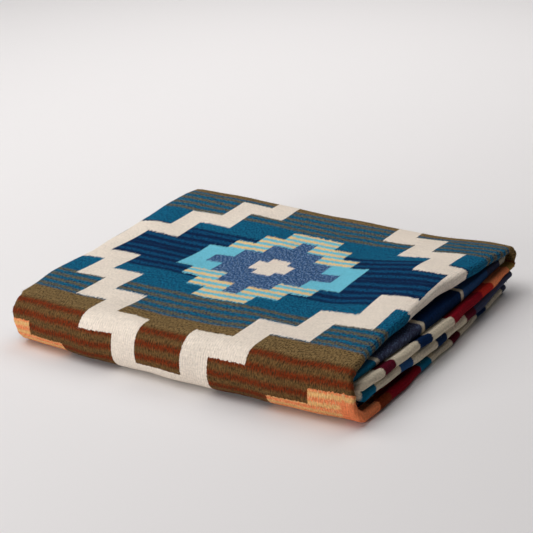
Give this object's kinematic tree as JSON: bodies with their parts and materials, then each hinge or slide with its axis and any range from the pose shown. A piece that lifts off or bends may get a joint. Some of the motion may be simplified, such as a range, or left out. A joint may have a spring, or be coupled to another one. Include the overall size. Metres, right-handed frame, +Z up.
{
  "type": "folded alpaca blanket",
  "caption": "Brushed alpaca blanket folded flat into a soft bundle, with a rounded front fold, layered fold edges along one end and a gently dished top, for a bed, shelf or chair.",
  "frame": {"origin": "on the surface it lies on, under the middle of the bundle's box", "axes": "+X along the front fold towards the end with the layered hairpin folds, +Y from the front fold to the back, +Z up"},
  "size_m": [0.572, 0.5532, 0.0845],
  "materials": {
    "brushed_alpaca": "brushed woven alpaca with a soft raised nap, striped in navy, teal, olive, rust, orange and cream, with heathered yarns"
  },
  "bodies": {
    "root": {"blanket": "brushed_alpaca"}
  },
  "joints": []
}
